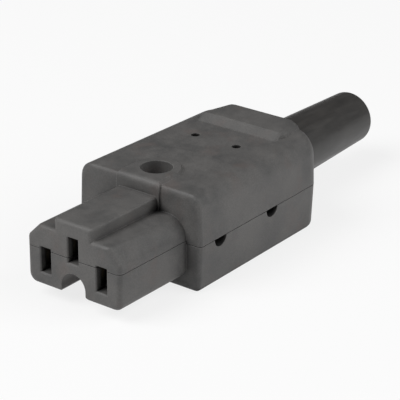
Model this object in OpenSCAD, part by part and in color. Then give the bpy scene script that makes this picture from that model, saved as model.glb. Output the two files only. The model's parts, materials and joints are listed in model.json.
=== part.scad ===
// Rewirable appliance connector for hot conditions, with line, neutral and
// earth contacts. Two moulded half shells meet on a level parting plane, hold
// the contacts and the cord clamp, and grip the flange of a rubber cable sleeve.
// Construction frame: X runs from the mating face (0) to the cable end, Y is
// across, and Z = 0 is the parting plane of the body.

/* [Mating face] */
// Spacing of the line and neutral slots
pin_pitch = 14; // [13.4:0.1:14.6]
// Height of the earth slot above the line and neutral slots
earth_rise = 4; // [3.7:0.1:4.2]
// Depth of the line and neutral slots below the parting plane of the body
line_drop = 1.65; // [1.4:0.05:1.9]
// Width of each slot
slot_w = 2.5; // [2.2:0.05:2.8]
// Height of each slot
slot_h = 5.4; // [4.9:0.1:5.6]
// Width of the chamfer round each slot
slot_chamfer = 0.25; // [0.15:0.05:0.35]
// Thickness of the wall that the slots pass through
front_wall = 1.6; // [1.2:0.1:2.2]

/* [Nose] */
// Length of the nose in front of the body
nose_l = 20; // [19:0.25:22]
// Width of the nose at the mating face
nose_w = 23.2; // [22.8:0.1:24]
// Growth of the nose's half width from the mating face to the body
nose_flare = 0.3; // [0:0.05:0.5]
// Depth of the nose's underside below the parting plane
nose_down = 7.2; // [6.8:0.1:7.6]
// Height of the nose's parting line above that of the body
nose_step = 0.6; // [0.3:0.05:0.8]
// Height of the flat shoulders beside the ridge
shoulder_up = 5.6; // [5.4:0.1:6.2]
// Fall of the shoulders from the mating face to the body
shoulder_fall = 0.3; // [0:0.1:0.5]
// Height and width of the chamfer outside each shoulder
shoulder_cut = 3.1; // [2.6:0.1:3.4]
// Radius that the chamfer turns into at the body
root_round = 4.4; // [3.8:0.1:4.6]
// Width of the ridge along the middle of the nose
ridge_w = 9.5; // [9:0.1:10.5]
// Height of the ridge above the parting plane
ridge_up = 8.2; // [8:0.1:8.8]
// Radius of the ridge's upper edges
ridge_round = 0.5; // [0.3:0.05:0.7]
// Radius round the mating face
face_round = 1; // [0.6:0.1:1.3]
// Radius of the nose's lower edges
nose_low_round = 1.7; // [1.2:0.1:2.2]
// Width of the keyway under the nose
keyway_w = 6; // [5.6:0.1:6.4]
// Height of the keyway's round top above the underside
keyway_h = 4.8; // [4.4:0.1:5]
// Width and height of the flare at each side of the keyway's mouth
keyway_flare = 0.7; // [0.4:0.1:0.9]

/* [Body] */
// Length of the body
body_l = 42.3; // [41:0.5:48]
// Width of the body at the parting plane
body_w = 30.8; // [29:0.2:34]
// Height of the body's top above the parting plane
body_up = 10.6; // [10:0.1:11.5]
// Depth of the body's flat base below the parting plane
body_down = 10; // [9.6:0.1:10.6]
// Draft of the body's side walls
body_draft = 2.4; // [1:0.2:3]
// Radius of the top edges along the sides, at the front
top_round = 2.8; // [2.4:0.1:3.4]
// Radius of the same edges at the cable end
top_round_rear = 4.6; // [4:0.1:5]
// Radius of the lower edges along the sides
low_round = 1.4; // [1:0.1:2]
// Radius of the upright edges at the front
front_round = 0.8; // [0.6:0.1:1.4]
// Radius of the upper edge at the front
brow_round = 1.4; // [1:0.1:2]
// Radius of the upright corners at the cable end
rear_round = 4.4; // [4:0.1:5]
// Radius of the rim round the cable end
rim_round = 1; // [0.6:0.1:1.4]
// Thickness of the side walls
wall = 2.4; // [2.2:0.1:2.8]
// Thickness of the roof
roof = 2.2; // [1.8:0.1:2.4]
// Thickness of the floor
floor_t = 2.2; // [1.8:0.1:2.4]
// Radius of the half round windows in the lower side walls
window_r = 1.9; // [1.5:0.1:2.2]
// Distance of the front window behind the front of the body
window_front = 6.5; // [5.5:0.25:7.5]
// Distance between the two windows of a side
window_pitch = 17.5; // [16.5:0.25:18.5]

/* [Collar] */
// Length of the raised collar at the cable end, its ramp included
collar_l = 10.1; // [9:0.1:10.8]
// Width of the collar's top
collar_w = 20.4; // [19.6:0.2:21.6]
// Rise of the collar above the body's top
collar_rise = 1.4; // [1:0.1:2]
// Length of the collar's front ramp
collar_ramp = 2; // [1.4:0.1:2.6]
// Radius of the collar's long upper edges behind the ramp
collar_round = 0.8; // [0.5:0.1:1.2]
// Radius of the same edges at the cable end
collar_round_rear = 3.2; // [2.4:0.1:3.8]

/* [Assembly screw] */
// Distance of the screw's axis behind the front of the body
screw_x = 5.7; // [5.5:0.1:6.5]
// Diameter of the hole above the screw head
screw_hole_d = 6.6; // [6.5:0.05:6.9]
// Diameter of the screw's thread
screw_d = 3.5; // [3:0.1:3.8]
// Diameter of the screw head
head_d = 6; // [5.6:0.1:6.3]
// Height of the screw head
head_h = 2.3; // [2:0.1:2.6]
// Height of the head's seat above the parting plane
seat_up = 4.6; // [4.2:0.1:5]
// Thickness of the pillar wall under the head
seat_t = 1.8; // [1.5:0.1:2.2]
// Width of the nut across its flats
nut_af = 6; // [5.5:0.1:6.4]
// Height of the nut
nut_h = 2.8; // [2.4:0.1:3]
// Depth of the nut's lower face inside the base
nut_sunk = 0.6; // [0.4:0.1:0.8]
// Thickness of the pillar wall round the screw
pillar_wall = 1.7; // [1.5:0.05:1.8]
// Half width of the raised pad round the screw hole
pad_r = 4.9; // [4.7:0.05:5.1]
// Rise of the pad above the body's top
pad_rise = 0.65; // [0.4:0.05:1]
// Slope width of the pad's edge
pad_slope = 0.45; // [0.3:0.05:0.6]
// Distance by which the pad stands out from the front of the body
pad_proud = 0.4; // [0.2:0.05:0.6]

/* [Contacts] */
// Thickness of the contact strip
strip_t = 0.5; // [0.4:0.05:0.55]
// Height of the contact strip
strip_h = 4.4; // [4:0.1:4.5]
// Free gap between the leaves along their straight part
leaf_gap = 2.2; // [2:0.05:2.3]
// Free gap at the waist that grips the pin
waist_gap = 1.8; // [1.6:0.05:1.95]
// Free gap at the mouth
mouth_gap = 2.6; // [2.4:0.05:2.8]
// Distance of the contacts' mouths behind the wall that the slots pass through
contact_inset = 2.2; // [1.6:0.1:2.8]
// Thickness of the tail that joins the contact to its terminal
tail_t = 0.9; // [0.7:0.05:1.1]
// Height of the tail
tail_h = 3; // [2.6:0.1:3.4]
// Depth of the tail inside the terminal
tail_in = 1.6; // [1.2:0.1:1.8]
// Thickness of the spring clip over the leaves
clip_t = 0.35; // [0.3:0.05:0.4]
// Length of the spring clip
clip_l = 5; // [4:0.2:6]

/* [Terminals] */
// Width of each terminal block
block_w = 4.6; // [4.4:0.1:4.8]
// Height of each terminal block
block_h = 4.8; // [4.6:0.1:5]
// Length of the line and neutral blocks
block_l = 9; // [8.6:0.2:9.6]
// Length of the earth block
earth_block_l = 6.1; // [5.8:0.1:6.3]
// Reach of the floor's platform behind the line and neutral blocks
platform_lip = 0.6; // [0.2:0.1:1]
// Diameter of the wire hole
wire_d = 2.8; // [2.4:0.1:3]
// Diameter of the terminal screws
clamp_d = 2.6; // [2.2:0.1:3]
// Diameter of the terminal screw heads
clamp_head_d = 4; // [3.8:0.1:4.2]
// Height of the terminal screw heads
clamp_head_h = 1.3; // [1:0.1:1.5]

/* [Cord clamp] */
// Distance of the clamp behind the front of the body
clamp_x = 25.3; // [24.5:0.1:26]
// Distance of each clamp screw from the middle
clamp_y = 5.25; // [5.2:0.05:5.7]
// Diameter of the clamp screws
cord_screw_d = 2.6; // [2.2:0.1:2.9]
// Diameter of the clamp screw heads
cord_head_d = 4.8; // [4.4:0.1:5.2]
// Height of the clamp screw heads
cord_head_h = 1.7; // [1.4:0.1:2]
// Diameter of the small holes in the roof above the clamp screws
roof_hole_d = 1.9; // [1.6:0.1:2]
// Length of the clamp bar across the body
bar_w = 16.6; // [16:0.2:18]
// Width of the clamp bar along the body
bar_l = 5.4; // [5:0.2:6.4]
// Thickness of the clamp bar
bar_t = 2.4; // [2:0.1:2.6]
// Diameter of the bosses above the clamp bar
boss_d = 4.8; // [4.4:0.1:5.2]
// Thickness of the ribs under the roof
rib_t = 1.2; // [1:0.1:1.6]

/* [Cable sleeve] */
// Diameter of the cable that the sleeve and clamp are made for
cable_d = 7.4; // [6.8:0.1:7.6]
// Diameter of the sleeve's bore
sleeve_bore_d = 8; // [7.8:0.1:8.6]
// Diameter of the sleeve where it leaves the body
sleeve_d = 13.9; // [13.2:0.1:14.4]
// Diameter of the sleeve at its free end
sleeve_end_d = 11.9; // [11.4:0.1:12.6]
// Length of the sleeve outside the body
sleeve_l = 35; // [30:1:44]
// Radius of the rim at the sleeve's free end
sleeve_round = 1; // [0.6:0.1:1.2]
// Diameter of the flange inside the body
flange_d = 16.8; // [16.2:0.1:17.2]
// Thickness of the flange
flange_t = 2; // [1.6:0.1:2.4]
// Thickness of the body's end wall outside the flange
end_wall = 3.6; // [3:0.1:4]
// Thickness of the wall in front of the flange
inner_wall = 2.2; // [1.8:0.1:2.6]

/* [Fits] */
// Gap between the rims of the two shells
rim_gap = 0.12; // [0.06:0.02:0.2]
// Height of the lower shell's tongue above its rim
tongue_h = 1.2; // [0.8:0.1:1.4]
// Thickness of the tongue
tongue_t = 1; // [0.8:0.1:1.2]
// Radial clearance round screws and inside threads
screw_fit = 0.06; // [0.04:0.01:0.15]
// Side clearance of the parts that lie in pockets
pocket_fit = 0.2; // [0.1:0.05:0.25]
// Side clearance of the tail in its slot and of the tongue in its groove
slide_fit = 0.05; // [0.03:0.01:0.1]

/* [Hidden] */
$fn = 48;

shell_colour = [0.29, 0.29, 0.28];
rubber_colour = [0.2, 0.19, 0.18];
brass_colour = [0.78, 0.62, 0.3];
steel_colour = [0.62, 0.62, 0.62];

thin = 0.01;        // step that keeps two faces from lying in one plane
over = 1;           // distance by which a cut runs past the face it opens
facets = 32;        // divisions of the circles inside a hull
arc_steps = 6;      // steps of an arc in a lofted outline
turn = 10;          // degrees between the outlines along a round edge
corner_soft = 0.6;  // radius of the two edges of the nose's chamfer
cavity_round = 1.5; // radius of the cavity's upright corners

body_end = nose_l + body_l;
total_l = body_end + sleeve_l;
screw_at = nose_l + screw_x;
clamp_at = nose_l + clamp_x;
collar_at = body_end - collar_l;
collar_up = body_up + collar_rise;
roof_z = body_up - roof;
floor_z = floor_t - body_down;
flange_back = body_end - end_wall;
flange_front = flange_back - flange_t;
cavity_front = nose_l + wall;
cavity_back = flange_front - inner_wall;
cavity_half_w = body_w / 2 - wall - tan(body_draft) * -floor_z;
root_r = min(root_round, shoulder_up - shoulder_fall - nose_step - 2 * rim_gap);

pillar_top = seat_up - seat_t;
pillar_r = screw_d / 2 + pillar_wall;
sump_r = screw_hole_d / 2 + pillar_wall;
nut_top = nut_sunk + nut_h - body_down;
nut_boss_r = nut_af / 2 / cos(30) + pillar_wall;

line_z = -line_drop;
earth_z = earth_rise - line_drop;
contact_at = front_wall + contact_inset;
terminal_x = screw_at - sump_r - pocket_fit - earth_block_l;
leaf_outer = leaf_gap / 2 + strip_t;
leaf_l = terminal_x - leaf_outer - contact_at;
waist_at = 1.8;     // distance of the waist behind the contact's mouth
straight_at = 3.4;  // distance at which the leaves run straight again
clip_at = contact_at + straight_at + pocket_fit;
pocket_half_w = leaf_outer + clip_t + pocket_fit;
platform_end = terminal_x + block_l + platform_lip;

saddle_z = cable_d / 2;
bar_top = bar_t / 2 - saddle_z;
bar_low = bar_top - bar_t;

// ---------------------------------------------------------------- helpers

// Moves the construction frame to the part's own frame: the origin is in the
// middle of the length and the width, on the plane that the base rests on.
module in_place() {
    translate([-total_l / 2, 0, body_down]) children();
}

// Turns an outline drawn in Y and Z into a bar along X from x0 to x1.
module along_x(x0, x1) {
    translate([x0, 0, 0]) rotate([90, 0, 90]) linear_extrude(height = x1 - x0) children();
}

// A round bar along X.
module rod_x(x0, x1, r) {
    translate([x0, 0, 0]) rotate([0, 90, 0]) cylinder(r = r, h = x1 - x0);
}

// A box given by its two corners.
module span(low, high) {
    translate(low) cube(high - low);
}

// A plate in X and Y with round corners.
module round_plate(x0, x1, half_w, r, z0, z1) {
    translate([0, 0, z0]) linear_extrude(height = z1 - z0) {
        translate([x0 + r, -half_w]) square([x1 - x0 - 2 * r, 2 * half_w]);
        translate([x0, -half_w + r]) square([x1 - x0, 2 * (half_w - r)]);
        for (x = [x0 + r, x1 - r], y = [-half_w + r, half_w - r]) translate([x, y]) circle(r = r);
    }
}

// Joins closed outlines with equally many points, in order along X, into a solid.
module loft(rings) {
    n = len(rings[0]);
    last = (len(rings) - 1) * n;
    points = [for (ring = rings) each ring];
    sides = [for (k = [0:n:last - n], i = [0:n - 1]) let (j = (i + 1) % n)
        each [[k + i, k + n + i, k + n + j], [k + i, k + n + j, k + j]]];
    front = [for (i = [0:n - 1]) i];
    back = [for (i = [n - 1:-1:0]) last + i];
    polyhedron(points = points, faces = concat(sides, [front, back]));
}

// A whole outline at x from its half on the +Y side, listed from the base up.
function ring(x, half) = concat([for (p = half) [x, p[0], p[1]]],
    [for (i = [len(half) - 1:-1:0]) [x, -half[i][0], half[i][1]]]);

// Points on an arc in Y and Z.
function arc(y, z, r, a0, a1) = [for (i = [0:arc_steps]) let (a = a0 + (a1 - a0) * i / arc_steps)
    [y + r * cos(a), z + r * sin(a)]];

// How far a quarter round of radius r is set in at distance d from its end.
function set_in(r, d) = d >= r ? 0 : r - sqrt(r * r - (r - d) * (r - d));

// Places along a quarter round of radius r, from its end.
function round_steps(r) = [for (a = [0:turn:90]) r * (1 - cos(a))];

// The same places from the other end.
function steps_back(r) = [for (a = [90:-turn:0]) r * (1 - cos(a))];

// ------------------------------------------------------------ outer forms

// Half outline of a body section: half width w at the base, height h, edge
// radius r, and side walls that lean in by the draft.
function body_section(w, h, r, base, lean) =
    concat([[w, base]], arc(w - r - tan(lean) * (h - r), h - r, r, lean, 90));

// One half of the body, with a round brow in front and round corners behind.
// Its edge radius grows from edge to rear_edge along the length.
function body_rings(h, edge, rear_edge, brow, base) = concat(
    [for (d = round_steps(front_round)) let (i = set_in(front_round, d), up = h - brow * i / front_round)
        ring(nose_l + d, body_section(body_w / 2 - i, up, edge, base, body_draft))],
    [for (d = steps_back(rear_round)) let (i = set_in(rear_round, d), up = h - set_in(rim_round, d))
        ring(body_end - d, body_section(body_w / 2 - i, up, rear_edge, base, body_draft))]);

// The raised collar over the sleeve's flange, with a sloping front. Its edges
// grow rounder towards the cable end.
function collar_section(i, h, r) = body_section(collar_w / 2 - i, h - i, r, rim_gap + over, 0);
function collar_rings() = concat(
    [ring(collar_at, collar_section(0, body_up - thin, collar_round))],
    [ring(collar_at + collar_ramp, collar_section(0, collar_up, collar_round))],
    [for (d = steps_back(rim_round))
        ring(body_end - d, collar_section(set_in(rim_round, d), collar_up, collar_round_rear))]);

// Half outline of the nose above its parting line, of half width w and with
// shoulders at top, set in by i. The corner is a chamfer between two arcs of
// radius r whose centres lie c apart, and gap is half the angle between them.
function nose_top_section(w, top, i, r, c, gap) =
    let (side = w - i, flat = top - i, half_ridge = ridge_w / 2 - i)
    concat([[side, nose_step + rim_gap]],
        arc(side - r, flat - r - c, r, 0, 45 - gap),
        arc(side - r - c, flat - r, r, 45 + gap, 90),
        [[half_ridge, flat]],
        arc(half_ridge - ridge_round, ridge_up - i - ridge_round, ridge_round, 0, 90));

// The nose above its parting line, with the ridge that makes room for the
// earth terminal. The chamfer turns into a full round at the body.
function nose_top_rings() = concat(
    [for (d = round_steps(face_round)) ring(d, nose_top_section(
        nose_w / 2, shoulder_up, set_in(face_round, d), corner_soft, shoulder_cut - corner_soft, 0))],
    [for (x = [nose_l - over, nose_l + over]) ring(x, nose_top_section(
        nose_w / 2 + nose_flare, shoulder_up - shoulder_fall, 0, root_r, 0, 45 / (2 * arc_steps + 1)))]);

// The nose below its parting line, upside down.
function nose_low_section(w, h) = body_section(w, h, nose_low_round, -nose_step, 0);
function nose_bottom_rings() = concat(
    [for (d = round_steps(face_round)) let (i = set_in(face_round, d))
        ring(d, nose_low_section(nose_w / 2 - i, nose_down - i))],
    [ring(nose_l + over, nose_low_section(nose_w / 2 + nose_flare, nose_down))]);

// The keyway along the underside of the nose, with a round top and a wider mouth.
module keyway() {
    r = keyway_w / 2;
    flare = r + keyway_flare;
    low = -nose_down - over;
    along_x(-over, nose_l) {
        translate([0, keyway_h - nose_down - r]) circle(r = r);
        translate([-r, low]) square([keyway_w, keyway_h - r + over]);
        polygon([[-r, keyway_flare - nose_down], [r, keyway_flare - nose_down], [flare, -nose_down - thin],
            [flare, low], [-flare, low], [-flare, -nose_down - thin]]);
    }
}

// A thin bar across X, one edge of a joined form.
module cross_bar(x, w, z) {
    span([x, -w, z - thin], [x + thin, w, z]);
}

// The raised pad round the screw hole. It runs forward over the body's brow
// and down its front, in line with the ridge of the nose.
module screw_pad() {
    pad_top = body_up + pad_rise;
    foot = pad_r + pad_slope;
    hull() {
        for (d = round_steps(brow_round)) {
            top = pad_top - set_in(brow_round, d);
            slope = min(1, (pad_top - top) / pad_rise);
            cross_bar(nose_l - pad_proud + d, pad_r + pad_slope * slope, top);
            cross_bar(nose_l - pad_proud + d, foot, min(body_up, top));
            cross_bar(nose_l - pad_proud + d, foot, shoulder_up - over);
        }
        translate([screw_at, 0, shoulder_up]) cylinder(r = foot, h = body_up - shoulder_up, $fn = facets);
        translate([screw_at, 0, body_up]) cylinder(r = pad_r, h = pad_rise, $fn = facets);
    }
}

// --------------------------------------------------------- inner cavities

// Repeats a form at the line and neutral places.
module at_line(side) {
    translate([0, side * pin_pitch / 2, line_z]) children();
}

// One slot with its chamfer and the pocket behind it for the contact.
module slot_and_pocket() {
    h = strip_h / 2;
    c = slot_chamfer;
    mouth = [slot_w + 2 * c, slot_h + 2 * c];
    narrowing = [slot_w / mouth.x, slot_h / mouth.y];
    span([-over, -slot_w / 2, -slot_h / 2], [front_wall + over, slot_w / 2, slot_h / 2]);
    translate([-thin, 0, 0]) rotate([90, 0, 90])
        linear_extrude(height = c + thin, scale = narrowing, slices = 1, segments = 4)
            square(mouth, center = true);
    span([front_wall, -pocket_half_w, -h],
        [terminal_x + over, pocket_half_w, h + clip_t + pocket_fit]);
}

// Room for a terminal block and for the screw on it, up to x1.
module block_room(x1) {
    half = block_w / 2 + pocket_fit;
    top = block_h / 2 + clamp_head_h + pocket_fit;
    span([terminal_x - pocket_fit, -half, -block_h / 2], [x1, half, top]);
}

// All that the contacts and terminals need, cut from both shells.
module contact_rooms() {
    for (side = [-1, 1]) at_line(side) {
        slot_and_pocket();
        block_room(platform_end + over);
    }
    translate([0, 0, earth_z]) {
        slot_and_pocket();
        block_room(cavity_front + over);
    }
}

// Room for the sleeve and its flange at the cable end.
module sleeve_room() {
    rod_x(cavity_back - over, body_end + over, sleeve_d / 2);
    rod_x(flange_front, flange_back, flange_d / 2);
}

// The pillar above the screw, and the saddle and bosses of the cord clamp.
module roof_pillars() {
    translate([screw_at, 0, pillar_top]) cylinder(r = sump_r, h = roof_z - pillar_top + over);
    for (side = [-1, 1])
        translate([clamp_at, side * clamp_y, saddle_z]) cylinder(d = boss_d, h = roof_z - saddle_z + over);
    span([clamp_at - bar_l / 4, -clamp_y, saddle_z], [clamp_at + bar_l / 4, clamp_y, roof_z + over]);
}

// Ribs that stiffen the roof between the saddle and the flange wall.
module roof_ribs() {
    for (side = [-1, 1])
        translate([0, side * clamp_y, 0])
            span([clamp_at, -rib_t / 2, saddle_z + over], [cavity_back + over, rib_t / 2, roof_z + over]);
}

// ----------------------------------------------------------------- shells

module upper_shell() {
    color(shell_colour) difference() {
        union() {
            loft(body_rings(body_up, top_round, top_round_rear, brow_round, rim_gap));
            loft(collar_rings());
            loft(nose_top_rings());
            screw_pad();
        }
        difference() {
            round_plate(cavity_front, cavity_back, cavity_half_w, cavity_round, -over, roof_z);
            roof_pillars();
            roof_ribs();
        }
        round_plate(cavity_front - tongue_t - slide_fit, cavity_back + slide_fit,
            cavity_half_w + tongue_t + slide_fit, cavity_round, -over, tongue_h + slide_fit);
        contact_rooms();
        sleeve_room();
        translate([screw_at, 0, seat_up]) cylinder(d = screw_hole_d, h = body_up);
        translate([screw_at, 0, 0]) cylinder(r = screw_d / 2 + screw_fit, h = body_up);
        for (side = [-1, 1]) translate([clamp_at, side * clamp_y, 0]) {
            cylinder(r = cord_screw_d / 2 + screw_fit, h = body_up - roof / 2);
            cylinder(d = roof_hole_d, h = body_up + over);
        }
        rod_x(clamp_at - bar_l / 2, clamp_at + bar_l / 2, saddle_z + slide_fit);
    }
}

// The floor's platform under the terminals, and the pillar of the screw.
module floor_blocks() {
    low = floor_z - over;
    half = pin_pitch / 2 + block_w;
    span([cavity_front - over, -half, low], [platform_end, half, line_z]);
    translate([screw_at, 0, low]) cylinder(r = pillar_r, h = pillar_top - low);
    translate([screw_at, 0, low]) cylinder(r = nut_boss_r, h = nut_top + pillar_wall - low);
}

// The tongue that stands on the rim along both sides of the cavity.
module tongue() {
    outer = cavity_half_w + tongue_t;
    front = cavity_front + thin;
    back = cavity_back + over;
    top = tongue_h + over;
    difference() {
        round_plate(cavity_front - tongue_t, cavity_back, outer, cavity_round, -over, tongue_h);
        round_plate(cavity_front, back, cavity_half_w, cavity_round, -2 * over, top);
        span([cavity_back - over, -body_w, -2 * over], [back, body_w, top]);
        span([nose_l, -body_w, rim_gap / 2], [front, body_w, top]);
    }
}

// The half round windows in both side walls.
module windows() {
    w = 2 * window_r;
    for (x = [window_front, window_front + window_pitch])
        translate([nose_l + x, 0, 0]) difference() {
            rotate([90, 0, 0]) cylinder(r = window_r, h = body_w + over, center = true);
            span([-w, over / 2 - cavity_half_w, -w], [w, cavity_half_w - over / 2, w]);
            span([-w, -body_w, 0], [w, body_w, w]);
        }
}

module lower_shell() {
    color(shell_colour) difference() {
        union() {
            difference() {
                mirror([0, 0, 1]) loft(body_rings(body_down, low_round, low_round, low_round, 0));
                round_plate(cavity_front, cavity_back, cavity_half_w, cavity_round, floor_z, over);
            }
            difference() {
                mirror([0, 0, 1]) loft(nose_bottom_rings());
                span([nose_l - rim_gap, -nose_w, 0], [nose_l + 2 * over, nose_w, nose_step + over]);
            }
            tongue();
            floor_blocks();
        }
        keyway();
        contact_rooms();
        sleeve_room();
        windows();
        translate([screw_at, 0, -body_down - over])
            cylinder(r = screw_d / 2 + screw_fit, h = body_down + pillar_top + 2 * over);
        translate([screw_at, 0, -body_down - over])
            hexagon(nut_af + 2 * slide_fit, nut_top + body_down + over);
    }
}

// ----------------------------------------------------------- cable sleeve

// The sleeve turned round its own axis, with its flange and a round rim.
module cable_sleeve() {
    bore = sleeve_bore_d / 2;
    root_r = sleeve_d / 2;
    end_r = sleeve_end_d / 2;
    q = sleeve_round;
    root = body_end - cavity_back;
    l = total_l - cavity_back;
    color(rubber_colour) translate([cavity_back, 0, 0]) rotate([90, 0, 90]) rotate_extrude() {
        polygon([[bore, 0], [root_r, 0], [root_r, root], [end_r, l - q], [end_r - q, l], [bore, l]]);
        translate([end_r - q, l - q]) circle(r = q);
        translate([bore, flange_front - cavity_back]) square([flange_d / 2 - bore, flange_t]);
    }
}

// -------------------------------------------------------------- fasteners

// A hexagon bar with two flats along Y.
module hexagon(af, h) {
    rotate([0, 0, 30]) cylinder(d = af / cos(30), h = h, $fn = 6);
}

// A slotted screw with a domed head. The head sits on Z = 0, the shank below.
module slotted_screw(d, l, hd, hh) {
    dome = hh / 3;
    dome_r = (hd * hd / 4 + dome * dome) / (2 * dome);
    slot = hd / 5;
    difference() {
        union() {
            cylinder(d = hd, h = hh - dome);
            translate([0, 0, hh - dome]) rotate_extrude() intersection() {
                translate([0, dome - dome_r]) circle(r = dome_r);
                square([hd / 2, dome]);
            }
            translate([0, 0, -l]) cylinder(d = d, h = l);
        }
        span([-hd, -slot / 2, hh / 2], [hd, slot / 2, hh + over]);
    }
}

module assembly_screw() {
    color(steel_colour) translate([screw_at, 0, seat_up])
        slotted_screw(screw_d, seat_up + body_down - nut_sunk, head_d, head_h);
}

module assembly_nut() {
    color(steel_colour) translate([screw_at, 0, nut_top - nut_h]) difference() {
        hexagon(nut_af, nut_h);
        translate([0, 0, -over]) cylinder(r = screw_d / 2 + screw_fit, h = nut_h + 2 * over);
    }
}

// --------------------------------------------------------------- contacts

// One leaf of the contact, seen from above.
module leaf() {
    free = leaf_gap / 2;
    inner = [[0, mouth_gap / 2], [waist_at, waist_gap / 2], [straight_at, free], [leaf_l, free]];
    outer = [for (i = [3:-1:0]) inner[i] + [0, strip_t]];
    polygon(concat(inner, outer));
}

// A folded contact: two leaves, a round bend and the tail, upright on its edge.
module contact() {
    translate([contact_at, 0, -strip_h / 2]) linear_extrude(height = strip_h) {
        leaf();
        mirror([0, 1]) leaf();
        translate([leaf_l, 0]) difference() {
            circle(r = leaf_outer);
            circle(r = leaf_gap / 2);
            translate([-2 * leaf_outer, -leaf_outer]) square([2 * leaf_outer, 2 * leaf_outer]);
        }
    }
    span([terminal_x - strip_t / 2, -tail_t / 2, -tail_h / 2],
        [terminal_x + tail_in, tail_t / 2, tail_h / 2]);
}

// A spring clip that straddles the leaves from above.
module contact_clip() {
    outer = leaf_outer + clip_t;
    top = strip_h / 2 + clip_t;
    leg = strip_h * 0.9;
    along_x(clip_at, clip_at + clip_l) difference() {
        translate([-outer, top - clip_t - leg]) square([2 * outer, leg + clip_t]);
        translate([-leaf_outer, top - clip_t - 2 * leg]) square([2 * leaf_outer, 2 * leg]);
    }
}

// Place of the terminal screw behind the front of a block of length l.
function clamp_place(l) = l - clamp_head_d / 2 - 2 * pocket_fit;

// A terminal block of length l, with a wire hole from the back, a threaded hole
// on top and a slot for the contact's tail in front.
module terminal(l) {
    screw_place = terminal_x + clamp_place(l);
    half_t = tail_t / 2 + slide_fit;
    half_h = tail_h / 2 + slide_fit;
    difference() {
        span([terminal_x, -block_w / 2, -block_h / 2], [terminal_x + l, block_w / 2, block_h / 2]);
        rod_x(screw_place - clamp_d / 2, terminal_x + l + over, wire_d / 2);
        translate([screw_place, 0, 0]) cylinder(r = clamp_d / 2 + screw_fit, h = block_h);
        span([terminal_x - over, -half_t, -half_h], [terminal_x + tail_in, half_t, half_h]);
    }
}

module terminal_screw(l) {
    translate([terminal_x + clamp_place(l), 0, block_h / 2])
        slotted_screw(clamp_d, block_h / 2, clamp_head_d, clamp_head_h);
}

module line_contact() color(brass_colour) at_line(-1) contact();
module neutral_contact() color(brass_colour) at_line(1) contact();
module earth_contact() color(brass_colour) translate([0, 0, earth_z]) contact();

module line_contact_spring() color(steel_colour) at_line(-1) contact_clip();
module neutral_contact_spring() color(steel_colour) at_line(1) contact_clip();
module earth_contact_spring() color(steel_colour) translate([0, 0, earth_z]) contact_clip();

module line_terminal() color(brass_colour) at_line(-1) terminal(block_l);
module neutral_terminal() color(brass_colour) at_line(1) terminal(block_l);
module earth_terminal() color(brass_colour) translate([0, 0, earth_z]) terminal(earth_block_l);

module line_terminal_screw() color(steel_colour) at_line(-1) terminal_screw(block_l);
module neutral_terminal_screw() color(steel_colour) at_line(1) terminal_screw(block_l);
module earth_terminal_screw() color(steel_colour) translate([0, 0, earth_z]) terminal_screw(earth_block_l);

// ------------------------------------------------------------- cord clamp

// A bar with a saddle for the cable, held up by two screws from below.
module cord_clamp() {
    color(shell_colour) difference() {
        round_plate(clamp_at - bar_l / 2, clamp_at + bar_l / 2, bar_w / 2,
            bar_l / 2 - thin, bar_low, bar_top);
        rod_x(clamp_at - bar_l, clamp_at + bar_l, saddle_z);
        for (side = [-1, 1])
            translate([clamp_at, side * clamp_y, bar_low - over])
                cylinder(r = cord_screw_d / 2 + screw_fit, h = bar_t + 2 * over);
    }
}

// One screw of the clamp. Its end meets the step below the small hole in the roof.
module cord_clamp_screw(side) {
    reach = body_up - roof / 2 - bar_low;
    color(steel_colour) translate([clamp_at, side * clamp_y, bar_low])
        mirror([0, 0, 1]) slotted_screw(cord_screw_d, reach, cord_head_d, cord_head_h);
}

module cord_clamp_screw_left() cord_clamp_screw(1);
module cord_clamp_screw_right() cord_clamp_screw(-1);

// ------------------------------------------------------------------ nodes

in_place() upper_shell();
in_place() lower_shell();
in_place() cable_sleeve();
in_place() assembly_screw();
in_place() assembly_nut();
in_place() line_contact();
in_place() neutral_contact();
in_place() earth_contact();
in_place() line_contact_spring();
in_place() neutral_contact_spring();
in_place() earth_contact_spring();
in_place() line_terminal();
in_place() neutral_terminal();
in_place() earth_terminal();
in_place() line_terminal_screw();
in_place() neutral_terminal_screw();
in_place() earth_terminal_screw();
in_place() cord_clamp();
in_place() cord_clamp_screw_left();
in_place() cord_clamp_screw_right();
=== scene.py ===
import json
import math

import bpy
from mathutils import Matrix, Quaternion, Vector


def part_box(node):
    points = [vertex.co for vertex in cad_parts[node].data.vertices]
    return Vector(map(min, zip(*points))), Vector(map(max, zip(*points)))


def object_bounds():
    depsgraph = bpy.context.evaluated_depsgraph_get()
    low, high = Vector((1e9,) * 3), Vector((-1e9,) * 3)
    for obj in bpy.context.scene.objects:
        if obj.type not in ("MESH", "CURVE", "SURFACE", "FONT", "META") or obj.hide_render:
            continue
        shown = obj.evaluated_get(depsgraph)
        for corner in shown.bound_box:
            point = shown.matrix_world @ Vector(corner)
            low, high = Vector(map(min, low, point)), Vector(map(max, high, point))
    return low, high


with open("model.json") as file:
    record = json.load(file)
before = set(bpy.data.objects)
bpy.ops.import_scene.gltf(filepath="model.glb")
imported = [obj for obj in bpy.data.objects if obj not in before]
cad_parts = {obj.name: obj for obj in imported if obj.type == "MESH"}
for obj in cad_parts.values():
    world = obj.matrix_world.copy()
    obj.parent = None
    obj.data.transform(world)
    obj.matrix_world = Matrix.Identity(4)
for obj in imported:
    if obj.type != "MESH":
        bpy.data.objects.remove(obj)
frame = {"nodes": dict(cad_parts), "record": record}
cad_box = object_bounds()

MM = 0.001
ONE_POINT = 0.002 * MM  # vertices closer than this are one
SMOOTH_UP_TO = 28  # degrees between two faces

# ------------------------------------------------------------------ nodes


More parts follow.
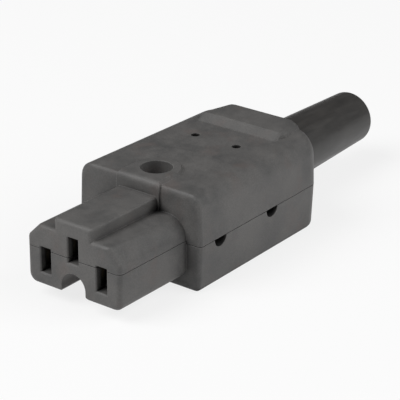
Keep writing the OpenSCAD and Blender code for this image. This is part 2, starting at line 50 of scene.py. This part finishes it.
class Tree:
    """A node tree with short calls for adding and joining its nodes."""

    def __init__(self, tree):
        self.tree = tree
        self.nodes = tree.nodes
        self.links = tree.links

    def add(self, kind, inputs=None, **settings):
        """Adds a node. Inputs are set to a value, or joined where they are a socket."""
        node = self.nodes.new(kind)
        for key, value in settings.items():
            setattr(node, key, value)
        for key, value in (inputs or {}).items():
            if isinstance(value, bpy.types.NodeSocket):
                self.links.new(value, node.inputs[key])
            else:
                node.inputs[key].default_value = value
        return node

    def noise(self, place, size, detail=3.0, rough=0.55):
        """Noise whose grains are about size metres across, from 0 to 1."""
        inputs = {"Vector": place, "Scale": 1.0 / size, "Detail": detail, "Roughness": rough}
        return self.add("ShaderNodeTexNoise", inputs).outputs["Fac"]

    def spread(self, value, low, high, to_low=0.0, to_high=1.0):
        """Maps low..high to to_low..to_high, and holds the ends."""
        inputs = {"Value": value, "From Min": low, "From Max": high, "To Min": to_low, "To Max": to_high}
        return self.add("ShaderNodeMapRange", inputs).outputs["Result"]

    def math(self, operation, a, b):
        return self.add("ShaderNodeMath", {0: a, 1: b}, operation=operation).outputs[0]

    def edge_highlight_mask(self, bevelled):
        """A mask for painted highlight: 1 on the edges that a bevelled normal rounds, 0 on the faces."""
        flat = self.add("ShaderNodeNewGeometry").outputs["Normal"]
        dot = self.add("ShaderNodeVectorMath", {0: bevelled, 1: flat}, operation="DOT_PRODUCT")
        return self.spread(dot.outputs["Value"], 0.8, 0.985, 1.0, 0.0)

    def painted_crevice_shade(self, reach, deep):
        """Painted shade from ambient occlusion: falls from 1 in the open to deep in slots and holes."""
        shade = self.add("ShaderNodeAmbientOcclusion", {"Distance": reach}, samples=16).outputs["AO"]
        return self.spread(shade, 0.3, 0.62, deep, 1.0)

    def mix(self, factor, a, b, blend="MIX"):
        """Mixes two colours by a factor."""
        node = self.nodes.new("ShaderNodeMix")
        node.data_type = "RGBA"
        node.blend_type = blend
        for socket, value in zip((node.inputs[0], node.inputs[6], node.inputs[7]), (factor, a, b)):
            if isinstance(value, bpy.types.NodeSocket):
                self.links.new(value, socket)
            else:
                socket.default_value = value
        return node.outputs[2]


def new_material(name):
    """A material with an empty shader, and the place on the object in metres."""
    material = bpy.data.materials.new(name)
    material.use_nodes = True
    tree = Tree(material.node_tree)
    shader = tree.nodes["Principled BSDF"]
    place = tree.add("ShaderNodeTexCoord").outputs["Object"]
    return material, tree, shader, place


def grey(level, warmth=0.0):
    """A grey with a little warmth, as a linear colour."""
    return (level * (1 + warmth), level, level * (1 - warmth), 1.0)


# -------------------------------------------------------------- materials


def moulded_plastic():
    """Dark warm grey plastic with a dull spark finish and lighter patches, a little dusty; its edges carry
    a painted highlight, and its slots, holes and seams painted shade.
    """
    material, tree, shader, place = new_material("moulded_plastic")
    clouds = tree.noise(place, 9 * MM, 4.0, 0.6)
    patches = tree.noise(place, 3.2 * MM, 5.0, 0.65)
    grain = tree.noise(place, 0.25 * MM, 2.0)
    tone = tree.mix(tree.spread(clouds, 0.35, 0.65), grey(0.072, 0.01), grey(0.1, 0.03))
    tone = tree.mix(tree.spread(patches, 0.4, 0.75, 0.0, 0.6), tone, grey(0.125, 0.035))
    rust = tree.spread(tree.noise(place, 6 * MM, 3.0), 0.56, 0.72, 0.0, 0.35)
    tone = tree.mix(rust, tone, (0.115, 0.088, 0.08, 1.0))
    speckle = tree.spread(grain, 0.35, 0.65, 0.9, 1.1)
    tone = tree.mix(1.0, tone, speckle, "MULTIPLY")
    edges = tree.add("ShaderNodeBevel", {"Radius": 0.3 * MM}, samples=6).outputs["Normal"]
    # painted highlight: edges lightened towards grey 0.26, patchy by the patch noise
    edge_highlight = tree.math("MULTIPLY", tree.edge_highlight_mask(edges), tree.spread(patches, 0.35, 0.6, 0.35, 1.0))
    tone = tree.mix(tree.math("MULTIPLY", edge_highlight, 0.55), tone, grey(0.26, 0.02))
    # painted shade: ambient occlusion darkens slots, holes and seams almost to black
    tone = tree.mix(1.0, tone, tree.painted_crevice_shade(4.0 * MM, 0.02), "MULTIPLY")
    tree.links.new(tone, shader.inputs["Base Color"])
    tree.links.new(tree.spread(patches, 0.3, 0.7, 0.46, 0.62), shader.inputs["Roughness"])
    shader.inputs["Specular IOR Level"].default_value = 0.4
    fine = {"Strength": 0.22, "Distance": 0.05 * MM, "Height": grain, "Normal": edges}
    fine = tree.add("ShaderNodeBump", fine)
    waves = tree.noise(place, 5 * MM, 2.0)
    broad = {"Strength": 0.3, "Distance": 0.12 * MM, "Height": waves, "Normal": fine.outputs["Normal"]}
    tree.links.new(tree.add("ShaderNodeBump", broad).outputs["Normal"], shader.inputs["Normal"])
    return material


def sleeve_rubber():
    """Smooth dark rubber, faintly streaked along its length."""
    material, tree, shader, place = new_material("sleeve_rubber")
    stretch = tree.add("ShaderNodeMapping", {"Vector": place, "Scale": (0.12, 1.0, 1.0)}).outputs["Vector"]
    streaks = tree.noise(stretch, 1.2 * MM, 4.0, 0.6)
    clouds = tree.noise(place, 8 * MM, 4.0)
    grain = tree.noise(place, 0.3 * MM, 2.0)
    tone = tree.mix(tree.spread(clouds, 0.35, 0.65), grey(0.028, 0.04), grey(0.04, 0.06))
    tone = tree.mix(tree.spread(streaks, 0.45, 0.7, 0.0, 0.35), tone, grey(0.06, 0.06))
    tree.links.new(tone, shader.inputs["Base Color"])
    tree.links.new(tree.spread(streaks, 0.3, 0.7, 0.34, 0.48), shader.inputs["Roughness"])
    shader.inputs["Specular IOR Level"].default_value = 0.45
    fine = {"Strength": 0.12, "Distance": 0.05 * MM, "Height": grain}
    tree.links.new(tree.add("ShaderNodeBump", fine).outputs["Normal"], shader.inputs["Normal"])
    return material


def metal(name, low, high, rough_low, rough_high, streak):
    """A drawn or plated metal: tone and gloss vary along fine streaks."""
    material, tree, shader, place = new_material(name)
    stretch = tree.add("ShaderNodeMapping", {"Vector": place, "Scale": streak}).outputs["Vector"]
    lines = tree.noise(stretch, 0.4 * MM, 4.0, 0.6)
    clouds = tree.noise(place, 2.5 * MM, 3.0)
    tone = tree.mix(tree.spread(clouds, 0.3, 0.7), low, high)
    tree.links.new(tone, shader.inputs["Base Color"])
    tree.links.new(tree.spread(lines, 0.3, 0.7, rough_low, rough_high), shader.inputs["Roughness"])
    shader.inputs["Metallic"].default_value = 1.0
    bump = {"Strength": 0.1, "Distance": 0.03 * MM, "Height": lines}
    tree.links.new(tree.add("ShaderNodeBump", bump).outputs["Normal"], shader.inputs["Normal"])
    return material


def brass():
    return metal("brass", (0.55, 0.38, 0.14, 1), (0.68, 0.5, 0.22, 1), 0.25, 0.4, (0.1, 1, 1))


def zinc_steel():
    return metal("zinc_steel", (0.36, 0.37, 0.38, 1), (0.5, 0.5, 0.49, 1), 0.28, 0.45, (1, 1, 0.2))


# ---------------------------------------------------------------- shading


def rounded_shading():
    """A node group that joins the faces of a CAD solid and shades its rounds smooth."""
    group = bpy.data.node_groups.new("rounded_shading", "GeometryNodeTree")
    group.interface.new_socket("Geometry", in_out="INPUT", socket_type="NodeSocketGeometry")
    group.interface.new_socket("Geometry", in_out="OUTPUT", socket_type="NodeSocketGeometry")
    tree = Tree(group)
    start = tree.add("NodeGroupInput").outputs[0]
    joined = tree.add("GeometryNodeMergeByDistance", {"Geometry": start, "Distance": ONE_POINT})
    faces = tree.add("GeometryNodeSetShadeSmooth", {"Geometry": joined.outputs[0], "Shade Smooth": True})
    angle = tree.add("GeometryNodeInputMeshEdgeAngle").outputs["Unsigned Angle"]
    limit = math.radians(SMOOTH_UP_TO)
    sharp = tree.add("FunctionNodeCompare", {0: angle, 1: limit}, operation="GREATER_THAN")
    inputs = {"Geometry": faces.outputs[0], "Selection": sharp.outputs[0], "Shade Smooth": False}
    edges = tree.add("GeometryNodeSetShadeSmooth", inputs, domain="EDGE")
    tree.add("NodeGroupOutput", {0: edges.outputs[0]})
    return group


def even_face(at_x, material):
    """A node group that triangulates the flat front face afresh, inside its own edges.

    A few packed triangles of that face fold over beside the ridge, and would show as dark slivers.
    """
    group = bpy.data.node_groups.new("even_face", "GeometryNodeTree")
    group.interface.new_socket("Geometry", in_out="INPUT", socket_type="NodeSocketGeometry")
    group.interface.new_socket("Geometry", in_out="OUTPUT", socket_type="NodeSocketGeometry")
    tree = Tree(group)
    start = tree.add("NodeGroupInput").outputs[0]
    joined = tree.add("GeometryNodeMergeByDistance", {"Geometry": start, "Distance": ONE_POINT}).outputs[0]
    place = tree.add("GeometryNodeInputPosition").outputs[0]
    normal = tree.add("GeometryNodeInputNormal").outputs[0]
    along = tree.add("ShaderNodeSeparateXYZ", {0: place}).outputs["X"]
    turned = tree.add("ShaderNodeSeparateXYZ", {0: normal}).outputs["X"]
    near = tree.math("LESS_THAN", along, at_x + 0.01 * MM)
    square_on = tree.math("GREATER_THAN", tree.math("ABSOLUTE", turned, 0.0), 0.999)
    front = {"Geometry": joined, "Selection": tree.math("MULTIPLY", near, square_on)}
    parts = tree.add("GeometryNodeSeparateGeometry", front, domain="FACE")
    beside = tree.add("GeometryNodeInputMeshEdgeNeighbors").outputs[0]
    rim = tree.add("FunctionNodeCompare", {2: beside, 3: 1}, data_type="INT", operation="EQUAL").outputs[0]
    edges = {0: parts.outputs["Selection"], "Selection": rim}
    loops = tree.add("GeometryNodeMeshToCurve", edges).outputs[0]
    quarter = math.pi / 2
    lying = tree.add("GeometryNodeTransform", {"Geometry": loops, "Rotation": (0, quarter, 0)}).outputs[0]
    filled = tree.add("GeometryNodeFillCurve", {0: lying}).outputs[0]
    back = {"Geometry": filled, "Rotation": (0, -quarter, 0), "Translation": (at_x, 0, 0)}
    face = tree.add("GeometryNodeTransform", back).outputs[0]
    face = tree.add("GeometryNodeSetMaterial", {"Geometry": face, "Material": material}).outputs[0]
    inwards = tree.math("GREATER_THAN", turned, 0.0)
    face = tree.add("GeometryNodeFlipFaces", {"Mesh": face, "Selection": inwards}).outputs[0]
    whole = tree.add("GeometryNodeJoinGeometry")
    tree.links.new(parts.outputs["Inverted"], whole.inputs[0])
    tree.links.new(face, whole.inputs[0])
    tree.add("NodeGroupOutput", {0: whole.outputs[0]})
    return group


def dress(node, material, shading):
    """Gives a CAD node its material and smooth shading."""
    node.material_slots[0].material = material
    normals = node.data.attributes.get("custom_normal")
    if normals:
        node.data.attributes.remove(normals)
    if node.name == "upper_shell":
        face = even_face(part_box("upper_shell")[0][0], material)
        node.modifiers.new("even_face", "NODES").node_group = face
    node.modifiers.new("rounded_shading", "NODES").node_group = shading
    flat = node.modifiers.new("flat_faces", "WEIGHTED_NORMAL")  # wide faces stay flat beside their rounds
    flat.mode = "FACE_AREA"
    flat.weight = 50
    flat.keep_sharp = True


def dress_all():
    """Every CAD node takes the material of its slot in the record."""
    by_slot = {
        "shell": moulded_plastic(),
        "sleeve": sleeve_rubber(),
        "brass": brass(),
        "steel": zinc_steel(),
    }
    shading = rounded_shading()
    slots = {part["node"]: part["material_slot"] for part in frame["record"]["subparts"]}
    for name, node in frame["nodes"].items():
        dress(node, by_slot[slots[name]], shading)


# ------------------------------------------------------------------ stage

# Name, azimuth and rise in degrees, metres away, metres wide, watts.
LAMPS = (("key", 240, 48, 0.9, 0.6, 7.2), ("fill", 20, 34, 1.0, 0.8, 6.2))
SKY_STRENGTH = 0.1
FLOOR_HALF = 3.0  # metres
FLOOR_WHITE = 0.8  # share of white that the eye sees in the floor

CAMERA_AZIMUTH = 307.0  # degrees, 0 looks along +Y
CAMERA_RISE = 24.05  # degrees
CAMERA_ROLL = 0.37  # degrees
CAMERA_AWAY = 374.6 * MM
CAMERA_LENS = 161.7  # millimetres, on a sensor 36 mm wide
AIM_OFFSET = Vector((-6.234, 1.762, -3.296)) * MM  # from the middle of the part


def towards(azimuth, rise):
    """Unit vector from the part to a viewer or lamp at that azimuth and rise."""
    a, e = math.radians(azimuth), math.radians(rise)
    return Vector((math.sin(a) * math.cos(e), -math.cos(a) * math.cos(e), math.sin(e)))


def middle():
    """The middle of the CAD box."""
    low, high = cad_box
    return (Vector(low) + Vector(high)) / 2


def camera():
    """A long lens at the height and side that the part is seen from."""
    data = bpy.data.cameras.new("camera")
    data.lens = CAMERA_LENS
    data.clip_start = 10 * MM
    eye = bpy.data.objects.new("camera", data)
    back = towards(CAMERA_AZIMUTH, CAMERA_RISE)
    eye.location = middle() + AIM_OFFSET + back * CAMERA_AWAY
    eye.rotation_mode = "QUATERNION"
    roll = Quaternion((0, 0, 1), math.radians(CAMERA_ROLL))
    eye.rotation_quaternion = back.to_track_quat("Z", "Y") @ roll
    bpy.context.scene.collection.objects.link(eye)
    bpy.context.scene.camera = eye


def lamp(name, azimuth, rise, away, size, power):
    """A square soft lamp that faces the middle of the part."""
    data = bpy.data.lights.new(name, "AREA")
    data.shape = "SQUARE"
    data.size = size
    data.energy = power
    light = bpy.data.objects.new(name, data)
    back = towards(azimuth, rise)
    light.location = middle() + back * away
    light.rotation_mode = "QUATERNION"
    light.rotation_quaternion = back.to_track_quat("Z", "Y")
    bpy.context.scene.collection.objects.link(light)


def seen_white(tree, lit, share):
    """Adds white to a shader for what the camera, a mirror or glass sees."""
    path = tree.add("ShaderNodeLightPath").outputs
    seen = tree.math("MAXIMUM", path["Is Camera Ray"], path["Is Glossy Ray"])
    seen = tree.math("MAXIMUM", seen, path["Is Transmission Ray"])
    white = tree.add("ShaderNodeEmission", {"Color": (1, 1, 1, 1), "Strength": 1.0}).outputs[0]
    factor = tree.math("MULTIPLY", seen, share)
    return tree.add("ShaderNodeMixShader", {0: factor, 1: lit, 2: white}).outputs[0]


def floor():
    """A wide pale floor that is white to the eye and keeps the part's shadow."""
    h = FLOOR_HALF
    mesh = bpy.data.meshes.new("floor")
    corners = [(-h, -h, 0), (h, -h, 0), (h, h, 0), (-h, h, 0)]
    mesh.from_pydata(corners, [], [(0, 1, 2, 3)])
    obj = bpy.data.objects.new("floor", mesh)
    bpy.context.scene.collection.objects.link(obj)
    material, tree, shader, _ = new_material("floor")
    shader.inputs["Base Color"].default_value = grey(0.85)
    shader.inputs["Roughness"].default_value = 0.9
    shader.inputs["Specular IOR Level"].default_value = 0.0
    seen = seen_white(tree, shader.outputs[0], FLOOR_WHITE)
    tree.links.new(seen, tree.nodes["Material Output"].inputs["Surface"])
    mesh.materials.append(material)


def surroundings():
    """Soft grey light from all round, behind a background that looks white."""
    world = bpy.data.worlds.new("surroundings")
    bpy.context.scene.world = world
    world.use_nodes = True
    tree = Tree(world.node_tree)
    glow = tree.nodes["Background"]
    glow.inputs["Color"].default_value = grey(0.8)
    glow.inputs["Strength"].default_value = SKY_STRENGTH
    white = tree.add("ShaderNodeBackground", {"Color": (1, 1, 1, 1), "Strength": 1.0}).outputs[0]
    seen = tree.add("ShaderNodeLightPath").outputs["Is Camera Ray"]
    both = tree.add("ShaderNodeMixShader", {0: seen, 1: glow.outputs[0], 2: white})
    tree.links.new(both.outputs[0], tree.nodes["World Output"].inputs["Surface"])


dress_all()
camera()
for values in LAMPS:
    lamp(*values)
floor()
surroundings()
bpy.context.scene.view_settings.view_transform = "Standard"
